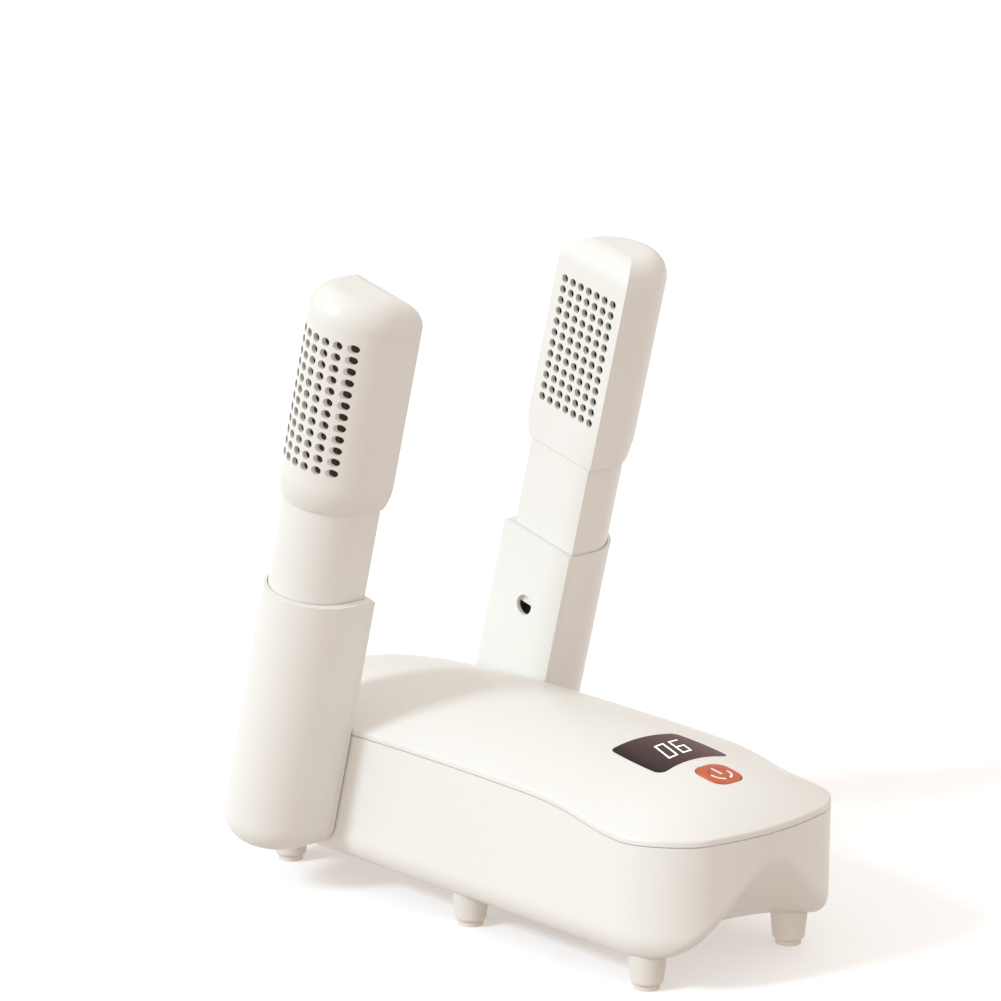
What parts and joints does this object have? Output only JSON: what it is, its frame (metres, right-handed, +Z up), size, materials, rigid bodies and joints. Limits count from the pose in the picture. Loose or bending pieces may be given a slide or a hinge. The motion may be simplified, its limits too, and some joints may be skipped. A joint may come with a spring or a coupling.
{
  "type": "boot dryer",
  "caption": "Free-standing electric dryer for boots and shoes, with telescopic vented arms that fold down beside a domed base with a display and a power button.",
  "frame": {"origin": "on the floor, under the middle of the base", "axes": "+Z up, -Y towards the display end, +X towards the right arm for a reader in front of the display"},
  "size_m": [0.1856, 0.2736, 0.2657],
  "materials": {
    "white_shell": "fine satin white ABS with a soft sheen",
    "white_plate": "fine satin white ABS",
    "white_tube": "smooth satin white ABS",
    "white_head": "satin white heat-resistant plastic",
    "smoked_lens": "polished smoked acrylic",
    "lit_digits": "white lit bars",
    "orange_button": "satin orange plastic",
    "white_mark": "white printed inlay",
    "foot_plastic": "satin white plastic",
    "foot_rubber": "soft light grey rubber",
    "grey_rubber": "soft pale grey rubber",
    "acetal": "natural acetal",
    "black_plastic": "black moulded plastic",
    "circuit_board": "green solder mask",
    "heater_alloy": "bare fins",
    "heat_plastic": "brown phenolic",
    "filter_mesh": "fine grey mesh",
    "screw_steel": "zinc plated steel",
    "switch_metal": "plated switch case"
  },
  "bodies": {
    "base": {"base_housing": "white_shell", "top_cover": "white_shell", "display_lens": "smoked_lens", "display_digits": "lit_digits", "control_board": "circuit_board", "display_module": "black_plastic", "tact_switch": "switch_metal", "board_screws": "screw_steel", "inlet_grille": "white_plate", "dust_filter": "filter_mesh", "fan_frame": "black_plastic", "fan_motor": "switch_metal", "heater_frame": "heat_plastic", "heater_core": "heater_alloy", "thermal_cutout": "switch_metal", "air_manifold": "heat_plastic", "body_screws": "screw_steel", "cord_gland": "grey_rubber", "hub_bush_left": "acetal", "hub_bush_right": "acetal", "leg_front_left": "foot_plastic", "foot_pad_front_left": "foot_rubber", "leg_middle_left": "foot_plastic", "foot_pad_middle_left": "foot_rubber", "leg_rear_left": "foot_plastic", "foot_pad_rear_left": "foot_rubber", "leg_front_right": "foot_plastic", "foot_pad_front_right": "foot_rubber", "leg_middle_right": "foot_plastic", "foot_pad_middle_right": "foot_rubber", "leg_rear_right": "foot_plastic", "foot_pad_rear_right": "foot_rubber"},
    "button": {"power_button": "orange_button", "button_mark": "white_mark", "switch_plunger": "black_plastic"},
    "rotor": {"fan_rotor": "black_plastic"},
    "arm_left": {"arm_shell_left": "white_shell", "arm_plate_left": "white_plate", "arm_screws_left": "screw_steel", "pivot_hub_left": "acetal", "hub_retainer_left": "black_plastic"},
    "tube_left": {"tube_left": "white_tube", "tube_stop_left": "acetal", "head_left": "white_head"},
    "arm_right": {"arm_shell_right": "white_shell", "arm_plate_right": "white_plate", "arm_screws_right": "screw_steel", "pivot_hub_right": "acetal", "hub_retainer_right": "black_plastic"},
    "tube_right": {"tube_right": "white_tube", "tube_stop_right": "acetal", "head_right": "white_head"}
  },
  "joints": [
    {"name": "arm_fold_left", "type": "hinge", "parent": "base", "child": "arm_left", "pos_m": [-0.0548, 0.0805, 0.042], "axis": [1, 0, 0], "range_deg": [0, 76]},
    {"name": "tube_slide_left", "type": "slide", "parent": "arm_left", "child": "tube_left", "axis": [0, -0.2419, 0.9703], "range_m": [-0.04, 0]},
    {"name": "arm_fold_right", "type": "hinge", "parent": "base", "child": "arm_right", "pos_m": [0.0548, 0.0805, 0.042], "axis": [1, 0, 0], "range_deg": [0, 76]},
    {"name": "tube_slide_right", "type": "slide", "parent": "arm_right", "child": "tube_right", "axis": [0, -0.2419, 0.9703], "range_m": [-0.04, 0]},
    {"name": "power_button_press", "type": "slide", "parent": "base", "child": "button", "axis": [0, 0, -1], "range_m": [0, 0.001], "stiffness_N_per_m": 1500},
    {"name": "fan_spin", "type": "hinge", "parent": "base", "child": "rotor", "pos_m": [0, 0.0205, 0.042], "axis": [0, 1, 0], "continuous": true}
  ]
}
